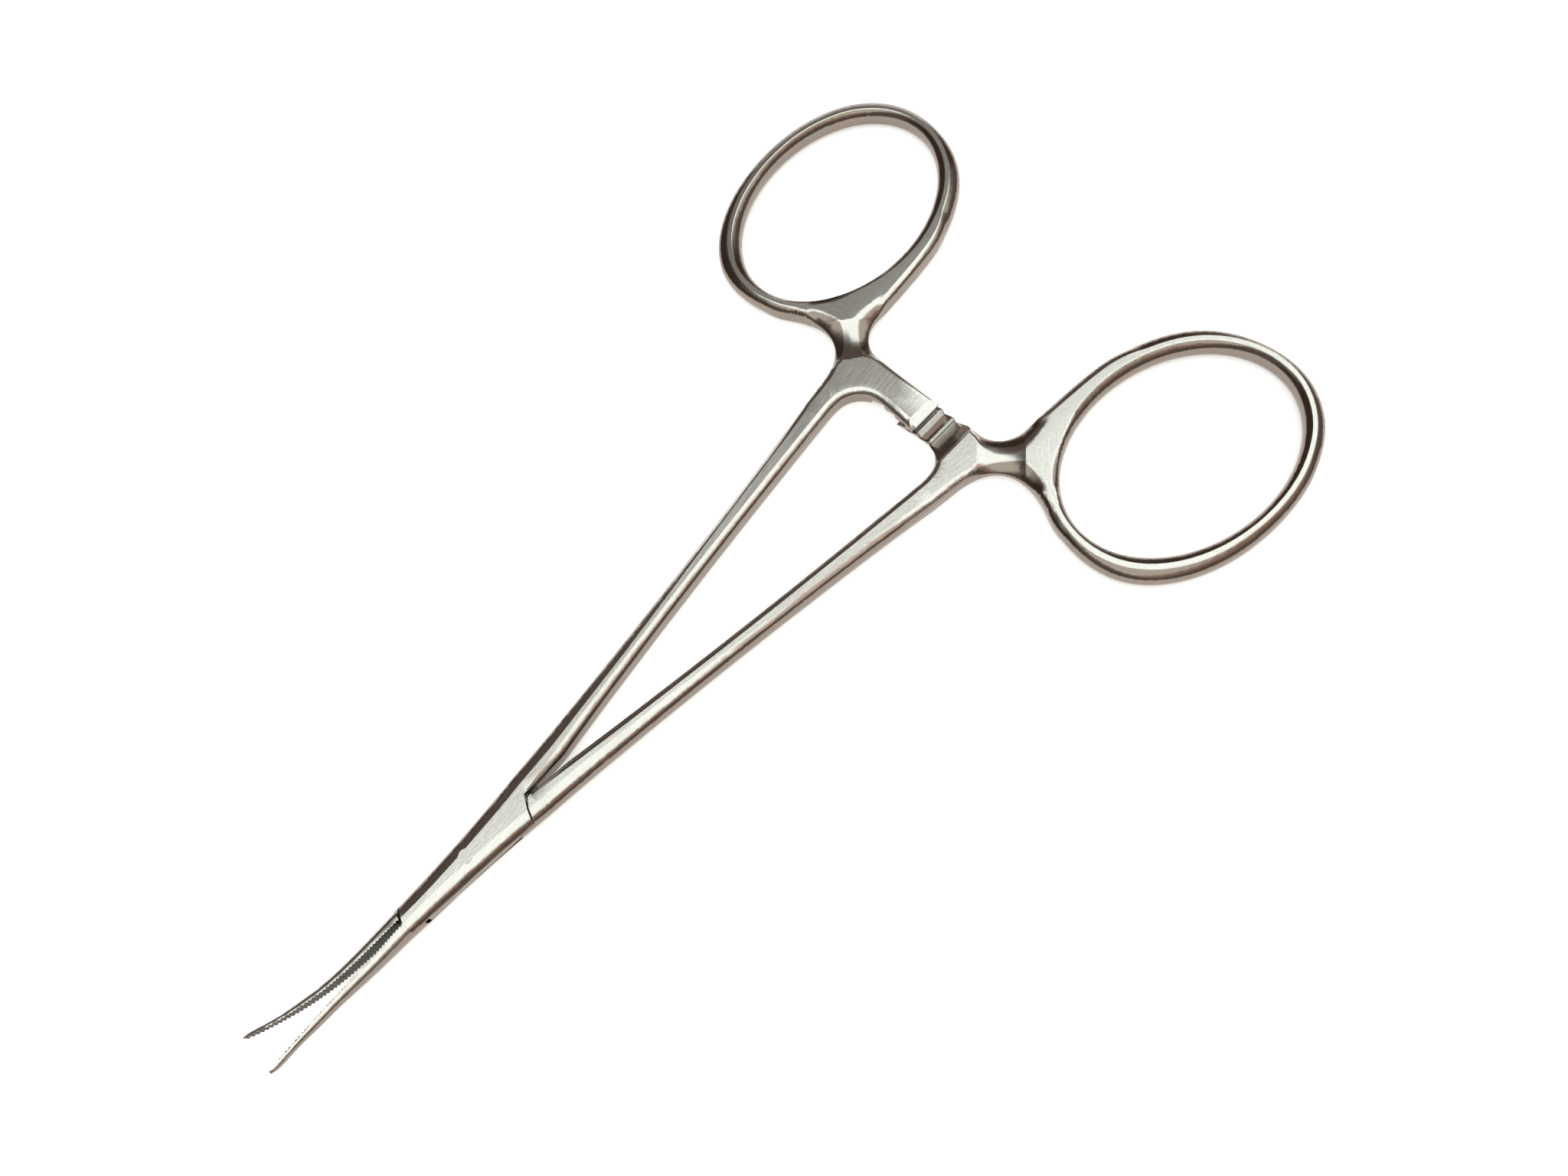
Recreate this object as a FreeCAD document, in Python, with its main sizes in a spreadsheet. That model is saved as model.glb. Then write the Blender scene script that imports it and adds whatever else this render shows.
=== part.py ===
import FreeCAD, Part

import math
import os

import Sketcher

# Curved locking forceps: two forged halves that cross in a box lock, and the rivet that joins them.
# The pivot axis is Z, through the origin. +X runs to the finger rings, +Y to the ring of the box half.
# Z is 0 at the flat underside that the handles and the box lie on.

SIZES = (
    ("body_thickness", 2.6, "thickness of box, shanks and rings"),
    ("edge_round", 0.82, "rounding of the long edges"),
    ("box_round", 1.5, "width of the rounded flank at the box"),
    ("box_front", 8.95, "pivot to the front end of the box"),
    ("box_rear", 8.45, "pivot to the crotch behind the box"),
    ("box_half_front", 1.68, "half width of the box at its front end"),
    ("box_half_middle", 2.08, "half width of the box at the pivot"),
    ("box_half_rear", 2.9, "half width of the box at its rear end"),
    ("crotch_half", 0.27, "half gap between the shanks at the crotch"),
    ("shoulder_run", 1.6, "how far the rear shoulders lean along the box"),
    ("shoulder_lean", 0.65, "how far the front shoulders lean along the box"),
    ("shoulder_gap", 0.24, "clearance at the rear shoulders"),
    ("front_gap", 0.25, "clearance at the front shoulders"),
    ("tongue_room", 0.5, "clearance between the tongue and the ends of the slot"),
    ("tongue_thickness", 0.9, "thickness of the tongue in the slot"),
    ("tongue_gap", 0.05, "clearance above and below the tongue"),
    ("tongue_inset", 0.12, "tongue edge behind the box edge"),
    ("pin_radius", 0.8, "rivet radius"),
    ("pin_gap", 0.03, "running clearance of the tongue on the rivet"),
    ("jaw_length", 26.8, "pivot to the jaw tips"),
    ("jaw_angle", 1.5, "angle of each mating face to the middle plane"),
    ("jaw_clear", 0.04, "mating face clearance at the pivot"),
    ("jaw_flare_start", 16.0, "where the mating faces start to curve apart"),
    ("jaw_flare", 1.37, "how far each tip curves outwards"),
    ("jaw_curve_start", 13.0, "where the jaws start to curve upwards"),
    ("jaw_curve_radius", 32.0, "radius of the upward curve"),
    ("jaw_root_width", 1.36, "jaw width at the box"),
    ("jaw_tip_width", 0.46, "jaw width at the tip"),
    ("jaw_tip_height", 0.86, "jaw height at the tip"),
    ("serration_pitch", 0.4, "pitch of the jaw serrations"),
    ("serration_depth", 0.15, "depth of the jaw serrations"),
    ("shank_root", 14.0, "station where the shank leaves the box"),
    ("shank_waist", 38.0, "station of the slimmest shank section"),
    ("shank_end", 60.0, "station where the shank meets the handle"),
    ("shank_root_offset", 1.9, "shank centre from the middle plane at its root"),
    ("shank_waist_offset", 5.12, "shank centre from the middle plane at its waist"),
    ("shank_end_offset", 8.15, "shank centre from the middle plane at its end"),
    ("shank_root_width", 2.9, "shank width at its root"),
    ("shank_waist_width", 2.3, "shank width at its waist"),
    ("shank_end_width", 3.0, "shank width at its end"),
    ("handle_slope", 0.13, "rise of the shank's sides where the handle begins"),
    ("ring_centre_x", 81.5, "finger ring centre along the forceps"),
    ("ring_centre_y", 25.02, "finger ring centre from the middle plane"),
    ("ring_hole_long", 13.87, "long half axis of the finger hole"),
    ("ring_hole_short", 10.41, "short half axis of the finger hole"),
    ("ring_turn", 7.5, "angle of the finger hole's long axis"),
    ("wall_inner", 2.68, "ring width on the side towards the middle plane"),
    ("wall_rear", 1.85, "ring width at its rear end"),
    ("wall_rear_corner", 2.25, "ring width outside and behind its middle"),
    ("wall_outer", 2.08, "ring width on the side away from the middle plane"),
    ("wall_front_corner", 2.85, "ring width outside and in front of its middle"),
    ("wall_front", 1.95, "ring width at its front end"),
    ("ring_crown", 0.45, "flat left along the top of the ring"),
    ("ring_lean", 0.45, "share of the ring's rounding on the side of the finger hole"),
    ("neck_notch", 7.2, "where the arm's rear edge turns into the neck"),
    ("neck_inner_x", 73.2, "innermost point of the neck along the forceps"),
    ("neck_inner_y", 11.1, "innermost point of the neck from the middle plane"),
    ("neck_pull", 3.4, "how far the neck runs on before it turns into the ring"),
    ("scoop_x", 69.0, "middle of the hollow across the neck, along the forceps"),
    ("scoop_y", 11.2, "middle of the hollow across the neck, from the middle plane"),
    ("scoop_turn", 40.0, "angle of the hollow across the neck"),
    ("scoop_radius", 9.0, "radius of the hollow across the neck"),
    ("scoop_depth", 0.36, "depth of the hollow across the neck"),
    ("neck_outer_pull", 6.6, "how far the outside of the ring runs on into the neck"),
    ("arm_width", 4.05, "width of the ratchet arms at the shank"),
    ("arm_flare", 0.38, "how much wider the arms are at their ends"),
    ("arm_rear", 69.45, "ratchet arms, edge towards the rings"),
    ("arm_fillet", 3.3, "fillet between ratchet arm and shank"),
    ("upper_arm_end", -1.9, "end of the upper ratchet arm"),
    ("lower_arm_end", 0.55, "end of the lower ratchet arm"),
    ("arm_bevel", 1.05, "length of the bevel on the upper arm's end"),
    ("arm_bevel_drop", 0.45, "drop of the bevel on the upper arm's end"),
    ("arm_split", 0.1, "gap between the tooth crests of the two arms"),
    ("tooth_pitch", 1.67, "pitch of the ratchet teeth"),
    ("tooth_height", 0.65, "height of the ratchet teeth"),
    ("tooth_crest", 0.3, "flat on each ratchet tooth"),
    ("tooth_undercut", 0.15, "lean of the locking face of each tooth"),
    ("first_lock", -0.78, "locking face of the first lower tooth"),
    ("lower_ramp_end", -6.95, "lower arm, where the recess reaches the top face"),
    ("upper_ramp_end", 4.9, "upper arm, where the recess reaches the underside"),
    ("upper_ramp_start", 4.3, "upper arm, where the recess starts to fall"),
)


def make_sheet(doc):
    """Spreadsheet with one named cell per driving size."""
    sheet = doc.addObject("Spreadsheet::Sheet", "Sizes")
    for row, (name, value, note) in enumerate(SIZES, start=1):
        sheet.set("A%d" % row, name)
        sheet.set("B%d" % row, str(value))
        sheet.setAlias("B%d" % row, name)
        sheet.set("C%d" % row, note)
    doc.recompute()
    return sheet


class Sizes:
    """Reads the sheet's cells by their names."""

    def __init__(self, sheet):
        self._sheet = sheet

    def __getattr__(self, name):
        return float(self._sheet.get(name))


def vec(x, y, z=0.0):
    return FreeCAD.Vector(x, y, z)


def quadratic(x, knots):
    """Value at x of the parabola through three (x, value) knots."""
    total = 0.0
    for i, (xi, vi) in enumerate(knots):
        term = vi
        for j, (xj, _) in enumerate(knots):
            if i != j:
                term *= (x - xj) / (xi - xj)
        total += term
    return total


def quarter(start, corner, end):
    """Quarter ellipse edge from start to end, tangent to the two sides that meet at corner."""
    curve = Part.BSplineCurve()
    curve.buildFromPolesMultsKnots([start, corner, end], [3, 3], [0.0, 1.0], False, 2,
                                   [1.0, math.sqrt(0.5), 1.0])
    return curve.toShape()


def bar_section(at, inner, outer, low, high, round_in, round_out, depth_in, depth_out):
    """Closed section of a forged bar: flats above and below, rounded sides; at places its points."""
    edges = [
        Part.makeLine(at(inner + round_in, low), at(outer - round_out, low)),
        quarter(at(outer - round_out, low), at(outer, low), at(outer, low + depth_out)),
        Part.makeLine(at(outer, low + depth_out), at(outer, high - depth_out)),
        quarter(at(outer, high - depth_out), at(outer, high), at(outer - round_out, high)),
        Part.makeLine(at(outer - round_out, high), at(inner + round_in, high)),
        quarter(at(inner + round_in, high), at(inner, high), at(inner, high - depth_in)),
        Part.makeLine(at(inner, high - depth_in), at(inner, low + depth_in)),
        quarter(at(inner, low + depth_in), at(inner, low), at(inner + round_in, low)),
    ]
    return Part.Wire(edges)


def station(x):
    """Places the points of a section in the plane across the forceps at x."""
    return lambda y, z: vec(x, y, z)


def loft(wires):
    solid = Part.makeLoft(wires, True, False)
    if solid.Volume < 0:
        solid.reverse()
    return solid


def mirrored(shape):
    return shape.mirror(vec(0, 0, 0), vec(0, 1, 0))


def box_blank(s):
    """The box before it is slotted, as wide as both halves together."""
    end = s.box_rear + 0.55
    knots = ((-s.box_front, s.box_half_front), (0.0, s.box_half_middle), (end, s.box_half_rear))
    wires = []
    for x in (-s.box_front, -0.5 * s.box_front, 0.0, 0.5 * s.box_rear, end):
        half = quadratic(x, knots)
        side = min(s.box_round, half - 0.3)
        deep = 0.48 * s.body_thickness
        wires.append(bar_section(station(x), -half, half, 0.0, s.body_thickness, side, side, deep, deep))
    return loft(wires)


def shank(s):
    """Shank of the box half, from the crotch behind the box to the handle."""
    stations = (s.shank_root, s.shank_waist, s.shank_end)
    offsets = tuple(zip(stations, (s.shank_root_offset, s.shank_waist_offset, s.shank_end_offset)))
    widths = tuple(zip(stations, (s.shank_root_width, s.shank_waist_width, s.shank_end_width)))
    start = s.box_rear + 0.55
    side = min(s.box_round, s.box_half_rear - 0.3)
    deep = 0.48 * s.body_thickness
    root_inner = s.shank_root_offset - 0.5 * s.shank_root_width
    crotch = []
    for part in (0.0, 0.35, 0.7, 1.0):
        x = start + (s.shank_root - start) * part
        inner = s.crotch_half + (root_inner - s.crotch_half) * part ** 1.5
        outer = s.box_half_rear + (s.shank_root_offset + 0.5 * s.shank_root_width - s.box_half_rear) * part
        round_in = 0.2 + (s.edge_round - 0.2) * part
        crotch.append(bar_section(station(x), inner, outer, 0.0, s.body_thickness, round_in, side, round_in, deep))
    wires = crotch[-1:]
    for part in (0.2, 0.4, 0.6, 0.8):
        x = s.shank_root + (s.shank_end - s.shank_root) * part
        centre = quadratic(x, offsets)
        half = 0.5 * quadratic(x, widths)
        flank = s.edge_round + (side - s.edge_round) * max(0.0, 1.0 - 1.6 * part)
        wires.append(bar_section(station(x), centre - half, centre + half, 0.0, s.body_thickness,
                                 s.edge_round, flank, s.edge_round, deep))
    half = 0.5 * s.shank_end_width
    across = s.edge_round * math.hypot(1.0, s.handle_slope)
    wires.append(bar_section(station(s.shank_end), s.shank_end_offset - half, s.shank_end_offset + half,
                             0.0, s.body_thickness, across, across, s.edge_round, s.edge_round))
    return loft(crotch).fuse(loft(wires))


def ellipse_point(s, grow, angle):
    """Point on the finger hole's ellipse, grown outwards by grow, at the parameter angle in degrees."""
    turn = math.radians(s.ring_turn)
    t = math.radians(angle)
    u = (s.ring_hole_long + grow) * math.cos(t)
    v = (s.ring_hole_short + grow) * math.sin(t)
    return vec(s.ring_centre_x + u * math.cos(turn) - v * math.sin(turn),
               s.ring_centre_y + u * math.sin(turn) + v * math.cos(turn))


def ring_wall(s, angle):
    """Width of the ring at the parameter angle, eased between the places where it is given."""
    knots = ((-90.0, s.wall_inner), (-55.0, s.wall_inner), (-10.0, s.wall_rear),
             (35.0, s.wall_rear_corner), (80.0, s.wall_outer), (142.0, s.wall_front_corner),
             (183.0, s.wall_front), (215.0, s.wall_front), (270.0, s.wall_inner))
    angle = (angle + 90.0) % 360.0 - 90.0
    for (before, thin), (after, thick) in zip(knots, knots[1:]):
        if angle <= after:
            part = (angle - before) / (after - before)
            return thin + (thick - thin) * part * part * (3.0 - 2.0 * part)
    return s.wall_inner


def ring_section(s, angle):
    """Oval section of the finger ring at the parameter angle."""
    deep = 0.48 * s.body_thickness
    wall = ring_wall(s, angle)
    foot = ellipse_point(s, 0.0, angle)
    way = ellipse_point(s, 1.0, angle) - foot
    inside = s.ring_lean * (wall - s.ring_crown)
    outside = wall - s.ring_crown - inside
    return bar_section(lambda d, z: foot + way * d + vec(0, 0, z), 0.0, wall, 0.0, s.body_thickness,
                       inside, outside, deep, deep)


def ring(s):
    """Finger ring of the box half, as two halves that meet at the neck and across from it."""
    halves = []
    for first in (45, 225):
        halves.append(loft([ring_section(s, first + step) for step in range(0, 181, 15)]))
    return halves[0].fuse(halves[1])


def through_points(points):
    curve = Part.BSplineCurve()
    curve.interpolate(points)
    return curve


def crown_line(s, first, last):
    """Smooth curve along the flat top of the ring, between two parameter angles."""
    points = []
    steps = 16
    for i in range(steps + 1):
        angle = first + (last - first) * i / steps
        inside = s.ring_lean * (ring_wall(s, angle) - s.ring_crown)
        points.append(ellipse_point(s, inside + 0.2 * s.ring_crown, angle))
    return through_points(points)


def lead(s, first, last):
    """Smooth curve that starts just outside the ring at the angle first and sinks into it by last."""
    points = []
    steps = 10
    for i in range(steps + 1):
        part = i / steps
        angle = first + (last - first) * part
        points.append(ellipse_point(s, ring_wall(s, angle) + 0.04 - 0.46 * part * part, angle))
    return through_points(points)


def first_point(curve):
    return curve.value(curve.FirstParameter)


def last_point(curve):
    return curve.value(curve.LastParameter)


def first_way(curve):
    return curve.tangent(curve.FirstParameter)[0]


def blend(start, leave, end, arrive):
    """Smooth edge from start to end; leave and arrive are its end directions times their pull."""
    curve = Part.BezierCurve()
    curve.setPoles([start, start + leave, end - arrive, end])
    return curve.toShape()


def handle(s, arm_end):
    """Handle plate of the box half: shank end, ratchet arm, and neck up to the crown of the ring."""
    x0 = s.shank_end
    low = s.shank_end_offset - 0.5 * s.shank_end_width
    high = s.shank_end_offset + 0.5 * s.shank_end_width
    slope = vec(1.0, s.handle_slope)
    inner_start = vec(x0, low) + slope * 0.6
    outer_end = vec(x0, high) + slope * 0.6
    crown = crown_line(s, 292.0, 172.0)
    lead_in, lead_out = lead(s, 272.0, 292.0), lead(s, 197.0, 172.0)
    front, rear = s.arm_rear - s.arm_width, s.arm_rear
    r = s.arm_fillet
    corner = vec(front - r, low + 0.15)
    inner = blend(inner_start, slope * 0.5, corner, vec(0.5, 0.0))
    mid = vec(front - r * (1 - math.sqrt(0.5)), corner.y - r * (1 - math.sqrt(0.5)))
    bend = Part.Arc(corner, mid, vec(front, corner.y - r)).toShape()
    end_corner = vec(front - s.arm_flare, arm_end)
    notch = vec(rear, s.neck_notch)
    web = vec(s.neck_inner_x, s.neck_inner_y)
    shoulder = vec(x0 + 3.2, high + 0.42)
    edges = [
        Part.makeLine(vec(x0, low), inner_start), inner, bend,
        blend(vec(front, corner.y - r), vec(0.0, -1.2), end_corner, vec(-0.15, -1.2)),
        Part.makeLine(end_corner, vec(rear, arm_end)),
        Part.makeLine(vec(rear, arm_end), notch),
        blend(notch, vec(0.0, 2.3), web, vec(2.0, 0.12)),
        blend(web, vec(1.0, 0.06) * s.neck_pull, first_point(lead_in), first_way(lead_in) * s.neck_pull),
        lead_in.toShape(),
        Part.makeLine(last_point(lead_in), first_point(crown)),
        crown.toShape(),
        Part.makeLine(last_point(crown), last_point(lead_out)),
        lead_out.toShape(),
        blend(first_point(lead_out), first_way(lead_out) * -s.neck_outer_pull, shoulder, slope * -4.0),
        blend(shoulder, slope * -0.9, outer_end, slope * -0.9),
        Part.makeLine(outer_end, vec(x0, high)),
        Part.makeLine(vec(x0, high), vec(x0, low)),
    ]
    return Part.Face(Part.Wire(edges)).extrude(vec(0, 0, s.body_thickness))


def in_ring(s, edge):
    """Whether the middle of an edge lies within the ring."""
    middle = edge.valueAt(0.5 * (edge.FirstParameter + edge.LastParameter))
    centre = vec(s.ring_centre_x, s.ring_centre_y)
    reach = vec(middle.x, middle.y) - centre
    turn = math.radians(s.ring_turn)
    u = reach.x * math.cos(turn) + reach.y * math.sin(turn)
    v = reach.y * math.cos(turn) - reach.x * math.sin(turn)
    grow = 0.75 * s.wall_inner
    return math.hypot(u / (s.ring_hole_long + grow), v / (s.ring_hole_short + grow)) < 1.0


def rounded_handle(s, arm_end):
    """The handle plate with its long edges rounded, apart from its ends and what the ring covers."""
    plate = handle(s, arm_end)
    edges = []
    for edge in plate.Edges:
        box = edge.BoundBox
        level = box.ZLength < 1e-6
        at_joint = box.XLength < 1e-6 and abs(box.XMin - s.shank_end) < 1e-6
        at_end = box.YLength < 1e-6 and abs(box.YMin - arm_end) < 1e-6
        if level and not at_joint and not at_end and not in_ring(s, edge):
            edges.append(edge)
    return plate.makeFillet(s.edge_round, edges)


def mating_face(s, x):
    """Distance of the serrated face from the middle plane at the distance x in front of the pivot."""
    gap = s.jaw_clear + x * math.tan(math.radians(s.jaw_angle))
    past = max(0.0, x - s.jaw_flare_start) / (s.jaw_length - s.jaw_flare_start)
    return gap + s.jaw_flare * past ** 2


def jaw_rise(s, x):
    """Height of the jaw's middle over the body's middle at the distance x in front of the pivot."""
    past = max(0.0, x - s.jaw_curve_start)
    return s.jaw_curve_radius - math.sqrt(s.jaw_curve_radius ** 2 - past ** 2)


def jaw(s):
    """Jaw on the +Y side: half round back, curved upwards, with a row of teeth along its mating face."""
    stock = 0.15
    span = s.jaw_length - s.box_front
    wires = []
    for part in (0.0, 0.15, 0.3, 0.45, 0.6, 0.75, 0.88, 0.965, 1.0):
        x = s.box_front + span * part
        end = 1.0 if part < 0.97 else 0.62
        width = (s.jaw_root_width + (s.jaw_tip_width - s.jaw_root_width) * part) * end
        tall = (s.body_thickness + (s.jaw_tip_height - s.body_thickness) * part) * end
        face = mating_face(s, x)
        middle = 0.5 * s.body_thickness + jaw_rise(s, x)
        wires.append(bar_section(station(-x), face - stock, face + width, middle - 0.5 * tall, middle + 0.5 * tall,
                                 0.04, 0.68 * width, 0.04, 0.47 * tall))
    bar = loft(wires)
    points = [vec(-s.box_front + 1.0, -2.0), vec(-s.box_front + 1.0, mating_face(s, s.box_front))]
    x = s.box_front + 0.3
    while x < s.jaw_length + s.serration_pitch:
        half = 0.42 * s.serration_pitch
        points.append(vec(-(x - half), mating_face(s, x - half)))
        points.append(vec(-x, mating_face(s, x) + s.serration_depth))
        points.append(vec(-(x + half), mating_face(s, x + half)))
        x += s.serration_pitch
    points.append(vec(points[-1].x - 1.0, points[-1].y))
    points.append(vec(points[-1].x, -2.0))
    comb = Part.Face(Part.makePolygon(points + points[:1])).extrude(vec(0, 0, 4 * s.body_thickness))
    comb.translate(vec(0, 0, -s.body_thickness))
    return bar.cut(comb)


def forging(s, arm_end, ring_side):
    """One half before the box is slotted: ring, shank and arm on ring_side, jaw on the other side."""
    grip = shank(s).fuse([rounded_handle(s, arm_end), ring(s)])
    tooth = jaw(s)
    if ring_side > 0:
        tooth = mirrored(tooth)
    else:
        grip = mirrored(grip)
    return box_blank(s).fuse([grip, tooth])


def add_shape(doc, name, shape):
    feature = doc.addObject("Part::Feature", name)
    feature.Shape = shape
    return feature


class Term:
    """A length that carries its value and the expression that follows from the sheet."""

    def __init__(self, value, text):
        self.value = value
        self.text = text

    def _with(self, other, sign, left=False):
        other = as_term(other)
        first, second = (other, self) if left else (self, other)
        results = {
            "+": lambda: first.value + second.value,
            "-": lambda: first.value - second.value,
            "*": lambda: first.value * second.value,
            "/": lambda: first.value / second.value,
        }
        return Term(results[sign](), "(%s %s %s)" % (first.text, sign, second.text))

    def __add__(self, other):
        return self._with(other, "+")

    def __sub__(self, other):
        return self._with(other, "-")

    def __rsub__(self, other):
        return self._with(other, "-", True)

    def __mul__(self, other):
        return self._with(other, "*")

    def __rmul__(self, other):
        return self._with(other, "*", True)

    def __truediv__(self, other):
        return self._with(other, "/")

    def __neg__(self):
        return self._with(-1.0, "*")

    def tangent(self):
        """Tangent of an angle that is held in degrees."""
        return Term(math.tan(math.radians(self.value)), "tan(%s * 1 deg)" % self.text)

    def cosine(self):
        return Term(math.cos(math.radians(self.value)), "cos(%s * 1 deg)" % self.text)

    def sine(self):
        return Term(math.sin(math.radians(self.value)), "sin(%s * 1 deg)" % self.text)


def as_term(item):
    return item if isinstance(item, Term) else Term(float(item), repr(float(item)))


class Terms(Sizes):
    """Gives the sheet's sizes as terms, for what is bound to the sheet."""

    def __getattr__(self, name):
        return Term(float(self._sheet.get(name)), "Sizes." + name)


def block(doc, name, plane, outline, depth, start):
    """Body padded from a closed sketch whose corners, depth and start are bound to the sheet."""
    body = doc.addObject("PartDesign::Body", name)
    sketch = body.newObject("Sketcher::SketchObject", name + "_outline")
    origin = [item for item in body.Origin.OriginFeatures if item.Role == plane][0]
    sketch.AttachmentSupport = [(origin, "")]
    sketch.MapMode = "FlatFace"
    corners = [(as_term(across), as_term(up)) for across, up in outline]
    count = len(corners)
    for i in range(count):
        ends = [vec(across.value, up.value) for across, up in (corners[i], corners[(i + 1) % count])]
        sketch.addGeometry(Part.LineSegment(*ends), False)
    for i in range(count):
        sketch.addConstraint(Sketcher.Constraint("Coincident", i, 2, (i + 1) % count, 1))
    for i, corner in enumerate(corners):
        for kind, term in zip(("DistanceX", "DistanceY"), corner):
            index = sketch.addConstraint(Sketcher.Constraint(kind, -1, 1, i, 1, term.value))
            sketch.setExpression("Constraints[%d]" % index, term.text)
    pad = body.newObject("PartDesign::Pad", name + "_pad")
    pad.Profile = sketch
    pad.setExpression("Length", as_term(depth).text)
    axis = "z" if plane == "XY_Plane" else "x"
    body.setExpression("Placement.Base." + axis, as_term(start).text)
    return body


class BoxLines:
    """Lines in plan that bound the box, its slot and its tongue, as corners on the +Y side."""

    def __init__(self, t):
        self.face = t.jaw_clear + t.box_front * t.jaw_angle.tangent()
        self.past_rear = t.box_rear + 0.6
        self.past_front = -1.07 * t.box_front
        self.out = 1.25 * t.box_half_rear
        self.in_front = 2.0 * t.box_half_front
        self.rear = [(t.box_rear - 0.5 * t.shoulder_run, 0.4 * t.box_half_rear),
                     (t.box_rear - t.shoulder_run, t.box_half_rear),
                     (t.box_rear - 1.2 * t.shoulder_run, self.out)]
        self.front = [(t.shoulder_lean - t.box_front, 0.8 * t.box_half_front),
                      (1.7 * t.shoulder_lean - t.box_front, 1.5 * t.box_half_front)]
        self.slot_front = [(2.7 * t.shoulder_lean - t.box_front, 1.15 * t.box_half_front),
                           (3.6 * t.shoulder_lean - t.box_front, self.in_front)]
        self.slot_low = (t.body_thickness - t.tongue_thickness) / 2


def moved(corners, along, flip=False):
    """The corners moved along X, and mirrored across the middle plane with flip."""
    return [(across + along, -up if flip else up) for across, up in corners]


def box_cutters(doc, t):
    """What is milled out of the box half: both ends of the box, and the slot for the tongue."""
    line = BoxLines(t)
    crotch = [(line.past_rear, t.crotch_half), (t.box_rear, t.crotch_half)]
    rear = crotch + moved(line.rear, 0, True) + [(line.past_rear, -line.out)]
    front = [(line.past_front, -line.face), (-t.box_front, -line.face)]
    front += line.front + [(line.past_front, 1.5 * t.box_half_front)]
    slot = [(line.past_front, -line.face), (t.shoulder_lean - t.box_front, -line.face)]
    slot += moved(line.slot_front, 0, True) + [(line.past_rear, -line.in_front)]
    slot += crotch + line.rear + [(line.past_front, line.out)]
    tall, under = t.body_thickness + 1, -0.5
    return [
        block(doc, "box_rear_shoulder", "XY_Plane", rear, tall, under),
        block(doc, "box_front_shoulder", "XY_Plane", front, tall, under),
        block(doc, "box_slot", "XY_Plane", slot, t.tongue_thickness + 2 * t.tongue_gap,
              line.slot_low - t.tongue_gap),
    ]


def through_cutters(doc, t):
    """What is milled off the through half: room for both cheeks, and the outline of the tongue."""
    line = BoxLines(t)
    near_face = 0.9 * line.face
    cheek = [(line.past_front, -line.out), (line.past_front, near_face),
             (0.2 * t.shoulder_lean - t.box_front - t.front_gap, near_face)]
    cheek += moved(line.front, -t.front_gap)
    cheek += [(line.past_rear, line.out), (line.past_rear, -t.crotch_half),
              (t.box_rear - 0.1 * t.shoulder_run + t.shoulder_gap, -t.crotch_half)]
    cheek += moved(line.rear, t.shoulder_gap, True)
    rear = [(line.past_rear, -t.crotch_half), (t.box_rear - 0.6 * t.tongue_room, -t.crotch_half),
            (t.box_rear - t.tongue_room, t.crotch_half)]
    rear += moved(line.rear, -t.tongue_room) + [(line.past_rear, line.out)]
    front = [(line.past_front, near_face), (t.shoulder_lean - t.box_front, near_face),
             (t.shoulder_lean - t.box_front + t.tongue_room, -line.face)]
    front += moved(line.slot_front, t.tongue_room, True) + [(line.past_front, -line.in_front)]
    middle = t.box_half_middle - t.tongue_inset
    near = [(-0.9 * t.box_front, t.tongue_inset - t.box_half_front), (0, -middle),
            (0.62 * t.box_rear, t.tongue_inset - 0.58 * t.box_half_middle - 0.42 * t.box_half_rear),
            (0.62 * t.box_rear, -line.out), (-0.9 * t.box_front, -line.out)]
    far = [(-0.62 * t.box_front, 0.34 * t.box_half_middle + 0.66 * t.box_half_front - t.tongue_inset),
           (0, middle),
           (0.75 * t.box_rear, 0.38 * t.box_half_middle + 0.62 * t.box_half_rear - t.tongue_inset),
           (0.75 * t.box_rear, line.out), (-0.62 * t.box_front, line.out)]
    side = line.slot_low + 0.5
    tongue = (t.tongue_thickness, line.slot_low)
    return [
        block(doc, "lower_cheek_room", "XY_Plane", cheek, side, -0.5),
        block(doc, "upper_cheek_room", "XY_Plane", cheek, side, line.slot_low + t.tongue_thickness),
        block(doc, "tongue_rear", "XY_Plane", rear, *tongue),
        block(doc, "tongue_front", "XY_Plane", front, *tongue),
        block(doc, "tongue_near_edge", "XY_Plane", near, *tongue),
        block(doc, "tongue_far_edge", "XY_Plane", far, *tongue),
    ]


def rack(t, away, crest, root):
    """Tooth line of a ratchet arm as (y, z) corners; away is +1 or -1, from the arm's end inwards."""
    line = []
    for tooth in range(3):
        lock = t.first_lock + away * tooth * t.tooth_pitch
        line += [(lock - away * t.tooth_crest, crest), (lock, crest),
                 (lock + away * t.tooth_undercut, root)]
    return line


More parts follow.
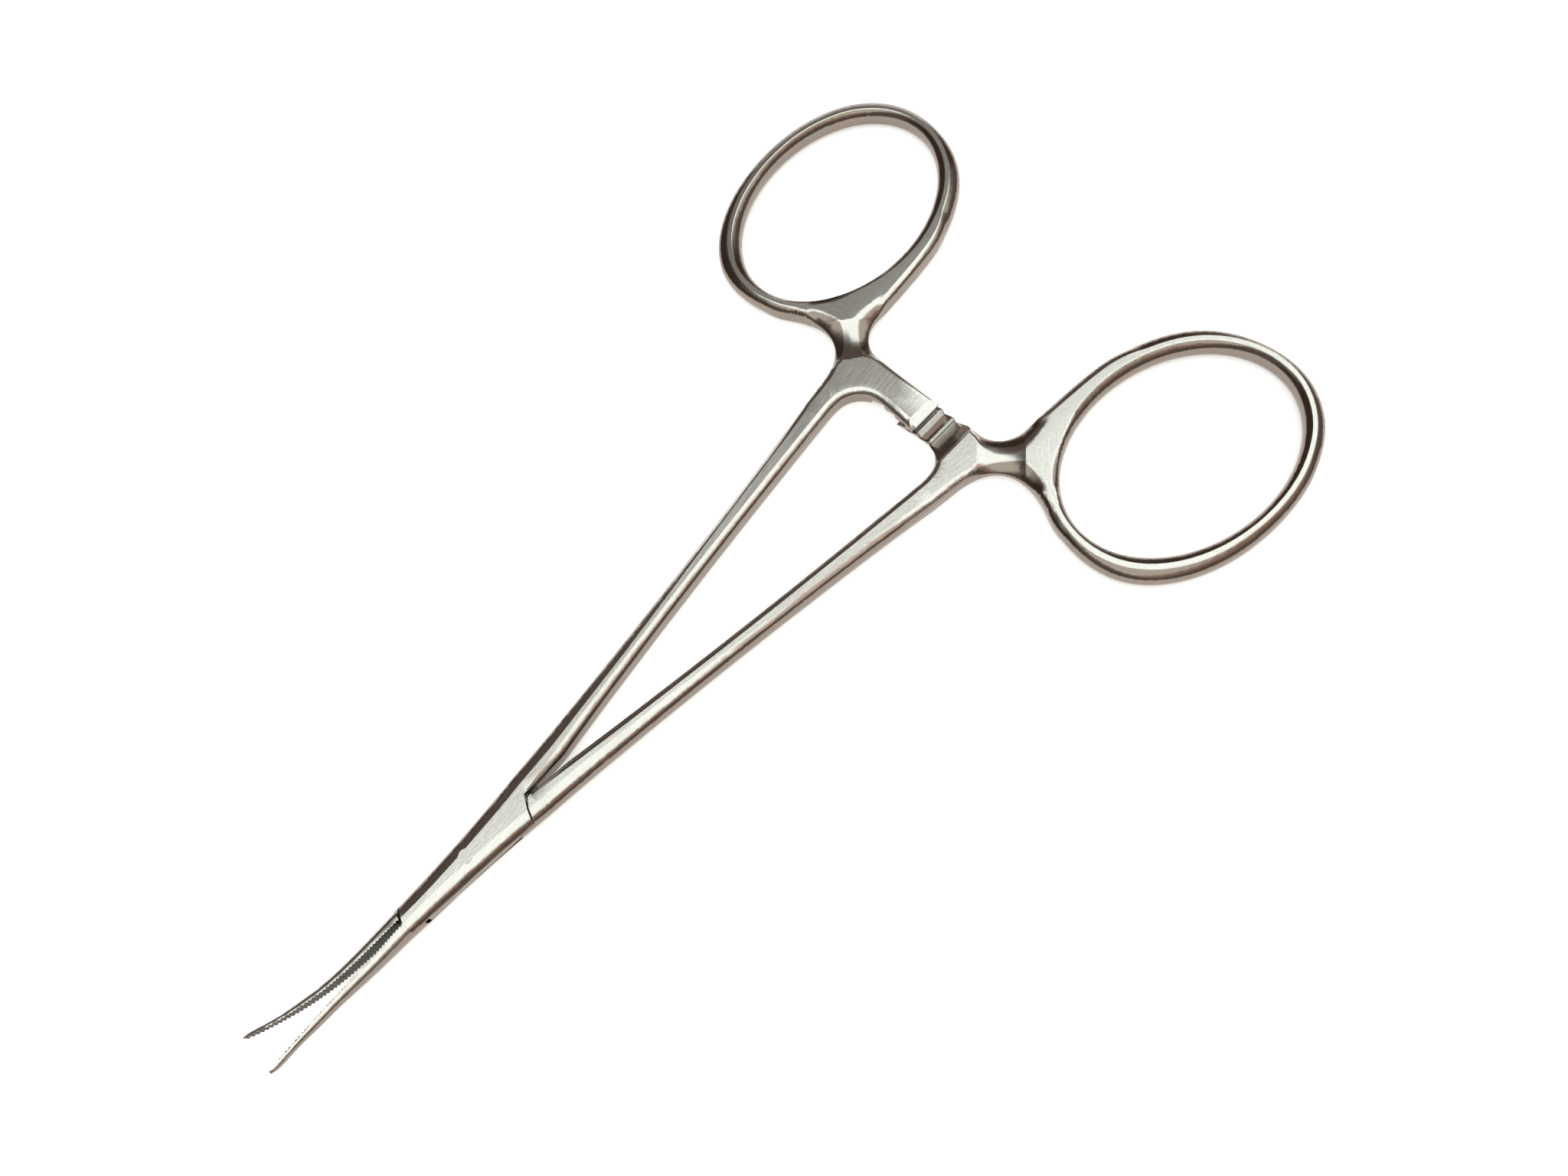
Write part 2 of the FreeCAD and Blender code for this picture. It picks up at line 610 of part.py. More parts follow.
def arm_cutters(doc, t):
    """The toothed recess of each ratchet arm, and the bevel on the end of the upper arm."""
    width = t.arm_width + 0.8 * t.arm_fillet + 0.5
    start = t.arm_rear - t.arm_width - 0.8 * t.arm_fillet
    high_crest = (t.body_thickness + t.arm_split) / 2
    high_root = high_crest + t.tooth_height
    past = t.first_lock - 2 * t.tooth_pitch
    upper = [(past, -0.5), (past, high_root)]
    upper += [(t.first_lock - t.tooth_pitch + t.tooth_undercut, high_root)]
    upper += rack(t, 1, high_crest, high_root)
    upper += [(t.first_lock + 3 * t.tooth_pitch - t.tooth_crest, high_crest)]
    upper += [(t.upper_ramp_start, high_crest), (t.upper_ramp_end, 0), (t.upper_ramp_end, -0.5)]
    low_crest = (t.body_thickness - t.arm_split) / 2
    low_root = low_crest - t.tooth_height
    past = t.first_lock + 2 * t.tooth_pitch
    lower = [(past, t.body_thickness + 0.5), (past, low_root)]
    lower += [(t.first_lock + t.tooth_pitch - t.tooth_undercut, low_root)]
    lower += rack(t, -1, low_crest, low_root)
    lower += [(t.lower_ramp_end, t.body_thickness), (t.lower_ramp_end, t.body_thickness + 0.5)]
    inner, outer = t.upper_arm_end + t.arm_bevel, t.upper_arm_end - 0.5 * t.arm_bevel
    above = t.body_thickness + t.arm_bevel_drop
    bevel = [(inner, t.body_thickness), (outer, t.body_thickness - 1.5 * t.arm_bevel_drop),
             (outer, above), (inner, above)]
    return (
        [block(doc, "upper_arm_recess", "YZ_Plane", upper, width, start),
         block(doc, "upper_arm_bevel", "YZ_Plane", bevel, width, start)],
        [block(doc, "lower_arm_recess", "YZ_Plane", lower, width, start)],
    )


def rod(doc, name, radius, height, foot=0.0):
    """Cylinder along the pivot axis."""
    cylinder = doc.addObject("Part::Cylinder", name)
    cylinder.setExpression("Radius", radius.text)
    cylinder.setExpression("Height", height.text)
    cylinder.Placement.Base = vec(0, 0, foot)
    return cylinder


def bore(doc, name, radius, t):
    """Tool for a hole along the pivot axis, through the whole box."""
    return rod(doc, name, radius, t.body_thickness + 2, -1.0)


def scoops(doc, name, side, t):
    """Rollers that hollow the neck between ratchet arm and ring, above and underneath."""
    rollers = []
    across, along = t.scoop_turn.cosine(), -side * t.scoop_turn.sine()
    rise = t.scoop_radius - t.scoop_depth
    for label, height in (("_over", t.body_thickness + rise), ("_under", -rise)):
        roller = rod(doc, name + label, t.scoop_radius, t.scoop_radius)
        roller.Placement.Rotation = FreeCAD.Rotation(vec(0, 0, 1), vec(across.value, along.value))
        half = t.scoop_radius / 2
        base = (t.scoop_x - across * half, side * t.scoop_y - along * half, height)
        for axis, term in zip("xyz", base):
            roller.setExpression("Placement.Base." + axis, term.text)
        rollers.append(roller)
    return rollers


def milled(doc, name, blank, tools):
    """The blank less all its tools."""
    group = doc.addObject("Part::MultiFuse", name + "_tools")
    group.Shapes = tools
    part = doc.addObject("Part::Cut", name)
    part.Base = blank
    part.Tool = group
    return part


def main():
    doc = FreeCAD.newDocument("locking_forceps")
    sheet = make_sheet(doc)
    s, t = Sizes(sheet), Terms(sheet)
    upper_arm, lower_arm = arm_cutters(doc, t)
    box_forging = add_shape(doc, "box_forging", forging(s, s.upper_arm_end, 1))
    through_forging = add_shape(doc, "through_forging", forging(s, -s.lower_arm_end, -1))
    box_tools = box_cutters(doc, t) + upper_arm + scoops(doc, "box_scoop", 1, t)
    box_tools.append(bore(doc, "box_bore", t.pin_radius, t))
    through_tools = through_cutters(doc, t) + lower_arm + scoops(doc, "through_scoop", -1, t)
    through_tools.append(bore(doc, "tongue_bore", t.pin_radius + t.pin_gap, t))
    pieces = [
        milled(doc, "box_half", box_forging, box_tools),
        milled(doc, "through_half", through_forging, through_tools),
        rod(doc, "pivot_pin", t.pin_radius, t.body_thickness),
    ]
    doc.recompute()
    for item in doc.Objects:
        if "Invalid" in item.State or "Error" in item.State:
            raise RuntimeError("%s failed: %s" % (item.Name, item.State))
    os.makedirs("parts", exist_ok=True)
    for piece in pieces:
        shape = piece.Shape
        if shape.isNull() or not shape.isValid():
            raise RuntimeError("%s has no valid shape" % piece.Label)
        if len(shape.Solids) != 1:
            raise RuntimeError("%s has %d solids" % (piece.Label, len(shape.Solids)))
        shape.exportStep("parts/%s.step" % piece.Label)
        print(piece.Label, round(shape.Volume, 2), shape.BoundBox)


main()
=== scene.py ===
"""Looks of the locking forceps: satin steel halves, a flush pivot pin and a white studio table."""

from __future__ import annotations

import logging
import math
from dataclasses import dataclass, field
from enum import Enum
from typing import Any, Union

import bmesh
import bpy
from mathutils import Matrix, Vector
from mathutils.kdtree import KDTree

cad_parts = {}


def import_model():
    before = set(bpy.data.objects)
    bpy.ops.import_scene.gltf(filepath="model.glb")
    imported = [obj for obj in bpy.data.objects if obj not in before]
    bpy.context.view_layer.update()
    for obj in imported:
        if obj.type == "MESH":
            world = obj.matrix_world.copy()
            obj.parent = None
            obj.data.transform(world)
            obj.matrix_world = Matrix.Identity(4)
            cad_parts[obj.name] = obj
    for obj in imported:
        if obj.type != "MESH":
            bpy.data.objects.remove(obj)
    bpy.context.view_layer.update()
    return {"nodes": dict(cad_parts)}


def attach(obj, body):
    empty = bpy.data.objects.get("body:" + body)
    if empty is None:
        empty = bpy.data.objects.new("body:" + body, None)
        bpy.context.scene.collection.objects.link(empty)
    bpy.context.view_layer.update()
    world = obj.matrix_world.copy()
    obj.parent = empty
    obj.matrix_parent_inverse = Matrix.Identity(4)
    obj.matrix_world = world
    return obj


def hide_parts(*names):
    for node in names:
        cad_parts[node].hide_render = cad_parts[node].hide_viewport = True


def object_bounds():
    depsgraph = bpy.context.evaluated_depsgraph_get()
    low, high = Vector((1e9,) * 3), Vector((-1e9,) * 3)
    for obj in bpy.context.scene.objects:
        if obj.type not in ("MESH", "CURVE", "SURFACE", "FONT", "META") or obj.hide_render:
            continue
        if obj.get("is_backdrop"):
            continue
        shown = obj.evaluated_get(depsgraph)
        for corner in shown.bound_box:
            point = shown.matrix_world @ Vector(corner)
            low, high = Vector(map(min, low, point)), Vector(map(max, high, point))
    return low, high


LOG = logging.getLogger("forceps")
MM = 0.001

Number = Union[int, float]
Colour = tuple[float, float, float, float]


def rgb(red: float, green: float, blue: float) -> Colour:
    """Opaque colour from three linear channels."""
    return (red, green, blue, 1.0)


def eased(part: float) -> float:
    """Smooth rise from 0 at 0 to 1 at 1."""
    part = min(1.0, max(0.0, part))
    return part * part * (3.0 - 2.0 * part)


class Wire:
    """A shader socket that takes part in Python expressions."""

    def __init__(self, graph: "Graph", socket: bpy.types.NodeSocket) -> None:
        """Keep the graph that new nodes go into, and the socket that holds the value."""
        self.graph = graph
        self.socket = socket

    def _math(self, operation: str, *values: "Wire | Number") -> "Wire":
        """Result of a Math node on the given values."""
        return self.graph.add("ShaderNodeMath", {"operation": operation}, dict(enumerate(values)))

    def __add__(self, other: "Wire | Number") -> "Wire":
        """Sum."""
        return self._math("ADD", self, other)

    __radd__ = __add__

    def __sub__(self, other: "Wire | Number") -> "Wire":
        """Difference."""
        return self._math("SUBTRACT", self, other)

    def __rsub__(self, other: "Wire | Number") -> "Wire":
        """Difference with the number first."""
        return self._math("SUBTRACT", other, self)

    def __mul__(self, other: "Wire | Number") -> "Wire":
        """Product."""
        return self._math("MULTIPLY", self, other)

    __rmul__ = __mul__

    def __truediv__(self, other: "Wire | Number") -> "Wire":
        """Quotient."""
        return self._math("DIVIDE", self, other)

    def __neg__(self) -> "Wire":
        """Value with the other sign."""
        return self._math("MULTIPLY", self, -1.0)

    def absolute(self) -> "Wire":
        """Value without its sign."""
        return self._math("ABSOLUTE", self)

    def root(self) -> "Wire":
        """Square root."""
        return self._math("SQRT", self)

    def angle_to(self, across: "Wire") -> "Wire":
        """Angle of the point (across, self) round the origin, in radians."""
        return self._math("ARCTAN2", self, across)

    def larger(self, other: "Wire | Number") -> "Wire":
        """Larger of the two values."""
        return self._math("MAXIMUM", self, other)

    def smaller(self, other: "Wire | Number") -> "Wire":
        """Smaller of the two values."""
        return self._math("MINIMUM", self, other)

    def step(self, low: "Wire | Number", high: "Wire | Number") -> "Wire":
        """Smooth rise from 0 at low to 1 at high; it falls where low is the larger."""
        settings = {"interpolation_type": "SMOOTHSTEP", "clamp": True}
        return self.graph.add("ShaderNodeMapRange", settings,
                              {"Value": self, "From Min": low, "From Max": high})


class Graph:
    """Nodes of one material or world."""

    def __init__(self, tree: bpy.types.NodeTree) -> None:
        """Start from an empty tree."""
        self.tree = tree
        tree.nodes.clear()

    def add(self, kind: str, settings: dict[str, Any] | None = None,
            inputs: dict[Any, Any] | None = None, output: int | str = 0) -> Wire:
        """Add a node.

        Args:
            kind: The node's Blender type.
            settings: Attributes of the node, set before its sockets.
            inputs: Socket names or numbers, with the wires or values that they take.
            output: The output that is wanted.

        Returns:
            The wanted output.
        """
        node = self.tree.nodes.new(kind)
        for name, value in (settings or {}).items():
            setattr(node, name, value)
        for name, value in (inputs or {}).items():
            if isinstance(value, Wire):
                self.tree.links.new(value.socket, node.inputs[name])
            else:
                node.inputs[name].default_value = value
        return Wire(self, node.outputs[output])

    def show(self, kind: str, shader: Wire) -> None:
        """Send a shader to the tree's output node.

        Args:
            kind: The output node's Blender type.
            shader: What it shows.
        """
        node = self.tree.nodes.new(kind)
        self.tree.links.new(shader.socket, node.inputs["Surface"])

    def mix(self, amount: Wire | Number, first: Wire | Colour, second: Wire | Colour) -> Wire:
        """Colour between two colours.

        Args:
            amount: 0 gives the first colour, 1 the second.
            first: Colour at 0.
            second: Colour at 1.

        Returns:
            The mixed colour.
        """
        return self.add("ShaderNodeMix", {"data_type": "RGBA"}, {0: amount, 6: first, 7: second}, 2)

    @staticmethod
    def scaled(colour: Colour, factor: float) -> Colour:
        """Colour with its channels multiplied."""
        return rgb(*(channel * factor for channel in colour[:3]))

    def vector(self, across: Wire | Number, along: Wire | Number, up: Wire | Number) -> Wire:
        """Vector from its three parts."""
        return self.add("ShaderNodeCombineXYZ", None, {0: across, 1: along, 2: up})

    def noise(self, place: Wire, scale: float, detail: float = 2.0, rough: float = 0.5) -> Wire:
        """Noise between 0 and 1 at a place.

        Args:
            place: Coordinates.
            scale: Features per unit of the coordinates.
            detail: Octaves.
            rough: Share of the finer octaves.

        Returns:
            The noise value.
        """
        return self.add("ShaderNodeTexNoise", None,
                        {"Vector": place, "Scale": scale, "Detail": detail, "Roughness": rough})


@dataclass(frozen=True)
class Streaks:
    """Noise drawn out along the grain, with its features for each millimetre."""

    along: float
    across: float
    detail: float
    rough: float

    def draw(self, graph: Graph, along: Wire, across: Wire, height: Wire) -> Wire:
        """Lay the streaks on the steel.

        Args:
            graph: Graph of the material.
            along: Distance along the grain.
            across: Distance across it.
            height: Height.

        Returns:
            The noise value.
        """
        place = graph.vector(along * self.along, across * self.across, height * self.across)
        return graph.noise(place, 1.0, self.detail, self.rough)


class Side(Enum):
    """Side of the middle plane that a half's finger ring is on."""

    UPPER = 1.0
    LOWER = -1.0
    NONE = 0.0


@dataclass(frozen=True)
class SatinSteel:
    """Satin-ground stainless steel whose grain follows the shank and runs round the ring.

    Lengths are in millimetres.
    """

    name: str
    side: Side = Side.NONE
    tint: Colour = rgb(0.60, 0.59, 0.565)
    worn: Colour = rgb(0.70, 0.69, 0.665)
    dull: Colour = rgb(0.46, 0.44, 0.41)
    # Painted shade on the flanks: its dark brown colour and how much of it is laid on.
    flank_painted_shade_colour: Colour = rgb(0.22, 0.175, 0.145)
    flank_painted_shade_share: float = 0.92
    mid_height: float = 1.3
    jaw_root: float = 9.0
    jaw_tip: float = 26.8
    jaw_tip_height: float = 0.43
    jaw_curve: tuple[float, float] = (13.0, 32.0)
    neck: tuple[float, float] = (69.0, 11.2)
    neck_height: float = 0.88
    neck_radius: float = 8.6
    ratchet: tuple[float, float] = (65.55, 69.3)
    ratchet_breadth: float = 5.0
    ratchet_blur: float = 0.1
    shank_crown: tuple[float, float] = (0.84, 0.72)
    ring_crown: tuple[float, float] = (0.985, 0.94)
    ring_start: tuple[float, float] = (10.5, 14.0)
    ring_centre: tuple[float, float] = (81.5, 25.02)
    ring_radius: float = 13.0
    shank_slope: float = 0.14
    roughness: float = 0.16
    roughness_spread: float = 0.05
    stroke_roughness: float = 0.09
    grain_depth: float = 0.006
    scratch_depth: float = 0.004
    speckle_scale: float = 7.0
    cloud_scale: float = 0.16
    strokes: Streaks = Streaks(0.22, 5.0, 4.0, 0.6)
    scratches: Streaks = Streaks(0.1, 14.0, 2.0, 0.5)
    mottle: Streaks = Streaks(1.6, 4.0, 3.0, 0.65)

    def flow(self, graph: Graph) -> tuple[Wire, Wire, Wire, Wire]:
        """Coordinates that follow the forging.

        Args:
            graph: Graph of the material.

        Returns:
            Distance along the grain, distance across it, height, and the place itself.
        """
        place = graph.add("ShaderNodeTexCoord", None, None, "Object")
        place = graph.add("ShaderNodeVectorMath", {"operation": "SCALE"}, {"Vector": place, "Scale": 1 / MM})
        split = graph.add("ShaderNodeSeparateXYZ", None, {0: place}).socket.node
        x, y, z = (Wire(graph, output) for output in split.outputs)
        if self.side is Side.NONE:
            return x, y, z, place
        up = y * self.side.value
        from_x, from_y = x - self.ring_centre[0], up - self.ring_centre[1]
        radius = (from_x * from_x + from_y * from_y).root()
        around = from_y.angle_to(from_x) * self.ring_radius
        ring = up.step(*self.ring_start)
        along = around * ring + x * (1 - ring)
        across = radius * ring + (up - x * self.shank_slope) * (1 - ring)
        return along, across, z, place

    def flank(self, graph: Graph, place: Wire) -> Wire:
        """Share of the painted shade on the flank, which lies between the ground faces above and underneath.

        The flank is painted dark brown for the shade and the dark room that it would mirror; the ratchet's teeth,
        which are ground too, get none of it.

        Args:
            graph: Graph of the material.
            place: Place in millimetres.

        Returns:
            The share, from 0 to 1.
        """
        parts = graph.add("ShaderNodeSeparateXYZ", None, {0: place}).socket.node
        x, y, z = (Wire(graph, output) for output in parts.outputs)
        curve_start, curve_radius = self.jaw_curve
        past = (-x - curve_start).larger(0.0)
        rise = curve_radius - (curve_radius ** 2 - past * past).root()
        along_jaw = ((-x - self.jaw_root) / (self.jaw_tip - self.jaw_root)).larger(0.0)
        from_neck_x, from_neck_y = x - self.neck[0], y * self.side.value - self.neck[1]
        from_neck = (from_neck_x * from_neck_x + from_neck_y * from_neck_y).root()
        half = self.mid_height - along_jaw * (self.mid_height - self.jaw_tip_height)
        half = half.smaller(from_neck * from_neck / (2 * self.neck_radius) + self.neck_height)
        on_ring = (y * self.side.value).step(*self.ring_start)
        level = (z - self.mid_height - rise).absolute() / half
        low, high = (on_ring * (ring - shank) + shank for shank, ring in zip(self.shank_crown, self.ring_crown))
        front, rear = self.ratchet
        teeth = x.step(front, front + self.ratchet_blur) * x.step(rear + self.ratchet_blur, rear)
        teeth = teeth * y.absolute().step(self.ratchet_breadth + 5 * self.ratchet_blur, self.ratchet_breadth)
        return level.step(low, high) * (1 - teeth) * self.flank_painted_shade_share

    def make(self) -> bpy.types.Material:
        """Build the material.

        Returns:
            The finished material.
        """
        material = bpy.data.materials.new(self.name)
        material.use_nodes = True
        graph = Graph(material.node_tree)
        *grain, place = self.flow(graph)
        strokes = self.strokes.draw(graph, *grain)
        scratches = self.scratches.draw(graph, *grain)
        mottle = self.mottle.draw(graph, *grain)
        speckle = graph.noise(place, self.speckle_scale, rough=0.6)
        cloud = graph.noise(place, self.cloud_scale)
        wear = mottle.step(0.42, 0.68) * 0.6 + scratches.step(0.55, 0.75) * 0.4
        stain = cloud.step(0.5, 0.8) * 0.35 + speckle.step(0.58, 0.8) * 0.4
        colour = graph.mix(wear, self.tint, self.worn)
        colour = graph.mix(stain, colour, self.dull)
        # Painted shade: the flanks are mixed towards dark brown for the shade and dark reflection that fall
        # there.
        if self.side is not Side.NONE:
            colour = graph.mix(self.flank(graph, place), colour, self.flank_painted_shade_colour)
        roughness = strokes.step(0.25, 0.8) * self.stroke_roughness + speckle * self.roughness_spread
        roughness = roughness + (self.roughness - self.roughness_spread)
        relief = strokes * self.scratch_depth + scratches * (0.5 * self.scratch_depth)
        relief = relief + speckle * self.grain_depth
        bump = graph.add("ShaderNodeBump", None, {"Strength": 1.0, "Distance": MM, "Height": relief})
        shader = graph.add("ShaderNodeBsdfPrincipled", None, {
            "Base Color": colour, "Roughness": roughness, "Metallic": 1.0, "Normal": bump})
        graph.show("ShaderNodeOutputMaterial", shader)
        return material


@dataclass(frozen=True)
class NeckForm:
    """Rounded neck between the handle and the finger ring, with a ridge where it meets the flat web.

    Lengths are in millimetres, and places are those on the half whose ring is on +Y.
    """

    middle: tuple[float, float] = (69.0, 11.2)
    slope_deg: float = 50.0
    mid_height: float = 1.3
    waist_height: float = 0.9
    scoop_radius: float = 8.6
    grid: float = 0.2
    outline_step: float = 0.03
    near: float = 1.25
    handle_reach: float = 5.5
    ring_reach: float = 6.6
    breadth: float = 4.6
    fade: float = 1.3
    shoulder: float = 3.2
    shoulder_end: float = 1.5
    web_shoulder: float = 1.3
    ridge: float = 1.06
    edge: float = 0.12

    def height(self, along: float, inside: float) -> float:
        """Half thickness of the neck.

        Args:
            along: Distance from the neck's middle, counted towards the ring.
            inside: Distance from the outline.

        Returns:
            The half thickness.
        """
        top = self.mid_height
        if abs(along) < self.scoop_radius:
            sagitta = self.scoop_radius - math.sqrt(self.scoop_radius ** 2 - along ** 2)
            top = min(top, self.waist_height + sagitta)
        if along < 0:
            shoulder = self.shoulder * (1.0 - eased(-along / self.handle_reach))
        else:
            past = (along - self.shoulder_end) / (self.ring_reach - self.shoulder_end)
            shoulder = self.shoulder - (self.shoulder - self.web_shoulder) * eased(past)
        inside = inside + self.edge
        if inside >= shoulder:
            return top
        return top * min(1.0, self.ridge * math.sqrt(1.0 - (1.0 - inside / shoulder) ** 2))

    def carve(self, work: bmesh.types.BMesh, side: Side) -> None:
        """Round the neck of a half.

        Args:
            work: The half's mesh, in metres.
            side: Side of the half's ring.
        """
        turn = math.radians(self.slope_deg)
        way = Vector((math.cos(turn), math.sin(turn) * side.value, 0.0))
        across = Vector((-way.y, way.x, 0.0))
        middle = Vector((self.middle[0], self.middle[1] * side.value, self.mid_height)) * MM
        self.cut(work, middle, way, across)
        outline = self.outline(work, middle)
        for vert in work.verts:
            place = (vert.co - middle) / MM
            along, aside = place.dot(way), abs(place.dot(across))
            if not -self.handle_reach < along < self.ring_reach or aside > self.breadth:
                continue
            inside = outline.find((vert.co.x, vert.co.y, 0.0))[2] / MM
            share = 1.0 - eased((aside - self.breadth + self.fade) / self.fade)
            share *= 1.0 - eased((along - self.ring_reach + self.fade) / self.fade)
            lowered = min(abs(place.z), self.height(along, inside))
            height = abs(place.z) + (lowered - abs(place.z)) * share
            vert.co.z = middle.z + math.copysign(height, place.z) * MM

    def cut(self, work: bmesh.types.BMesh, middle: Vector, way: Vector, across: Vector) -> None:
        """Cut the faces of the neck into a fine grid.

        Args:
            work: The half's mesh.
            middle: Middle of the neck.
            way: Direction along the neck.
            across: Direction across it.
        """
        reach = max(self.handle_reach, self.ring_reach) * self.near * MM
        near = [face for face in work.faces if (face.calc_center_median() - middle).length < reach]
        near = set(near) | {face for vert in work.verts if (vert.co - middle).length < reach
                            for face in vert.link_faces}
        for direction, low, high in ((way, -self.handle_reach, self.ring_reach),
                                     (across, -self.breadth, self.breadth)):
            for step in range(math.floor(low / self.grid), math.ceil(high / self.grid) + 1):
                spot = middle + direction * (step * self.grid * MM)
                parts = set(near)
                for face in near:
                    parts.update(face.edges)
                    parts.update(face.verts)
                cut = bmesh.ops.bisect_plane(work, geom=list(parts), plane_co=spot, plane_no=direction, dist=1e-8)
                near = {part for part in cut["geom"] if isinstance(part, bmesh.types.BMFace)}

    def outline(self, work: bmesh.types.BMesh, middle: Vector) -> KDTree:
        """Points of the half's outline round the neck, seen from above.

        Args:
            work: The half's mesh.
            middle: Middle of the neck.

        Returns:
            The points, all at height 0.
        """
        level = work.copy()
        everything = level.verts[:] + level.edges[:] + level.faces[:]
        cut = bmesh.ops.bisect_plane(level, geom=everything, plane_co=middle, plane_no=(0.0, 0.0, 1.0))
        points = []
        for edge in cut["geom_cut"]:
            if isinstance(edge, bmesh.types.BMEdge):
                first, last = (vert.co for vert in edge.verts)
                count = max(1, math.ceil((last - first).length / (self.outline_step * MM)))
                points += [first.lerp(last, step / count) for step in range(count + 1)]
        level.free()
        tree = KDTree(len(points))
        for number, point in enumerate(points):
            tree.insert((point.x, point.y, 0.0), number)
        tree.balance()
        return tree


@dataclass(frozen=True)
class GroundEdge:
    """Crisp edge that grinding leaves where the rounded flanks meet the flat top and underside.

    Lengths are in millimetres, and places are those on the half whose ring is on +Y.
    """

    mid_height: float = 1.3
    straight: float = 0.05
    depth: float = 1.25
    taken: float = 0.08
    lowest: float = 0.8
    box_front: float = -8.9
    handle: float = 57.0
    neck: tuple[float, float] = (69.0, 11.2)
    neck_reach: float = 8.0
    fade: float = 1.5

    def share(self, x: float, y: float) -> float:
        """How much of the grinding a place gets, from 0 to 1."""
        from_neck = math.hypot(x - self.neck[0], y - self.neck[1])
        on_ring = eased((from_neck - self.neck_reach) / self.fade) * eased((y - self.neck[1]) / self.fade)
        on_shank = eased((x - self.box_front) / self.fade) * eased((self.handle - x) / self.fade)
        return max(on_ring, on_shank)

    def grind(self, work: bmesh.types.BMesh, side: Side) -> None:
        """Take the edges off a half.

        Args:
            work: The half's mesh, in metres.
            side: Side of the half's ring.
        """
        for vert in work.verts:
            x, y, height = vert.co.x / MM, vert.co.y * side.value / MM, vert.co.z / MM - self.mid_height
            level = (abs(height) - self.straight) / self.depth
            if not 0.0 < level < 1.0:
                continue
            part = math.sqrt(1.0 - level ** 2) / self.lowest
            if part < 1.0:
                lower = 4.0 * self.taken * part * (1.0 - part) * self.share(x, y)
                vert.co.z = (self.mid_height + math.copysign(abs(height) - lower, height)) * MM


@dataclass
class SteelPiece:
    """A steel piece that takes its form from the solid of the same name."""

    node: str
    body: str
    slot: str
    finish: SatinSteel
    edge: GroundEdge | None = None
    neck: NeckForm | None = None
    # Near-black steel that paints the shade on the serrations and the box joint faces.
    painted_shade_steel: SatinSteel | None = None
    jaw_root: float = 9.15
    # Places at the box ends that get painted shade: x from, x to and half breadth, in millimetres.
    joints: tuple[tuple[float, float, float], ...] = ((5.5, 9.8, 2.2), (-9.3, -7.0, 1.4))
    steep: float = 0.5
    facing: float = 0.4
    level: float = 0.99999
    crease_deg: float = 32.0
    flat_crease_deg: float = 4.0
    weld: float = 2e-6
    piece: bpy.types.Object | None = field(default=None, init=False)

    def build(self, nodes: dict[str, bpy.types.Object]) -> None:
        """Make the piece as a welded copy of its solid, with smooth normals between creases.

        Args:
            nodes: The frame's solids by name.
        """
        mesh = nodes[self.node].data.copy()
        mesh.name = self.node + "_steel"
        mesh.materials.clear()
        work = bmesh.new()
        work.from_mesh(mesh)
        bmesh.ops.remove_doubles(work, verts=work.verts, dist=self.weld)
        bmesh.ops.dissolve_degenerate(work, edges=work.edges, dist=self.weld)
        if self.edge:
            self.edge.grind(work, self.finish.side)
        if self.neck:
            self.neck.carve(work, self.finish.side)
            bmesh.ops.remove_doubles(work, verts=work.verts, dist=self.weld)
        work.normal_update()
        for face in work.faces:
            face.smooth = True
            # Serrations and box joint faces take the painted shade steel as their second material.
            if self.painted_shade_steel and self.is_painted_shade_face(face):
                face.material_index = 1
        for edge in work.edges:
            level = [abs(face.normal.z) > self.level for face in edge.link_faces]
            crease = self.flat_crease_deg if any(level) and not all(level) else self.crease_deg
            edge.smooth = len(level) == 2 and edge.calc_face_angle(0.0) < math.radians(crease)
        work.to_mesh(mesh)
        work.free()
        self.piece = bpy.data.objects.new(self.node + "_steel", mesh)
        bpy.context.scene.collection.objects.link(self.piece)
        weighted = self.piece.modifiers.new("Facing", "WEIGHTED_NORMAL")
        weighted.keep_sharp = True
        weighted.weight = 100

    def is_painted_shade_face(self, face: bmesh.types.BMFace) -> bool:
        """Tell whether a face is one of the serrations or of a joint at an end of the box, which are painted with
        shade.

        Args:
            face: Face of the piece.

        Returns:
            Whether it is.
        """
        middle = face.calc_center_median() / MM
        if middle.x < -self.jaw_root and face.normal.y * self.finish.side.value > self.facing:
            return True
        return abs(face.normal.z) < self.steep and any(low < middle.x < high and abs(middle.y) < breadth
                                                       for low, high, breadth in self.joints)

    def dress(self) -> None:
        """Give the piece its steel and its body, hide its solid and log its face count."""
        self.piece.data.materials.append(self.finish.make())
        if self.painted_shade_steel:
            self.piece.data.materials.append(self.painted_shade_steel.make())
        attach(self.piece, self.body)
        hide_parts(self.node)
        LOG.info("%s: %d faces", self.piece.name, len(self.piece.data.polygons))


@dataclass(frozen=True)
class SoftLight:
    """Rectangle of light overhead, placed by how far its directions lean for each unit of height."""

    colour: Colour
    strength: float
    along: tuple[float, float]
    across: tuple[float, float]
    blur: float
    turn: float = 0.15

    def amount(self, along: Wire, across: Wire) -> Wire:
        """Share of this light in a direction, from 0 to 1.

        Args:
            along: Lean of the direction along the forceps.
            across: Lean of the direction across the forceps.

        Returns:
            The share.
        """
        share: Wire | Number = 1.0
        for lean, (low, high) in ((along, self.along), (across + along * self.turn, self.across)):
            share = lean.step(low - self.blur, low + self.blur) * share
            share = share * lean.step(high + self.blur, high - self.blur)
        return share


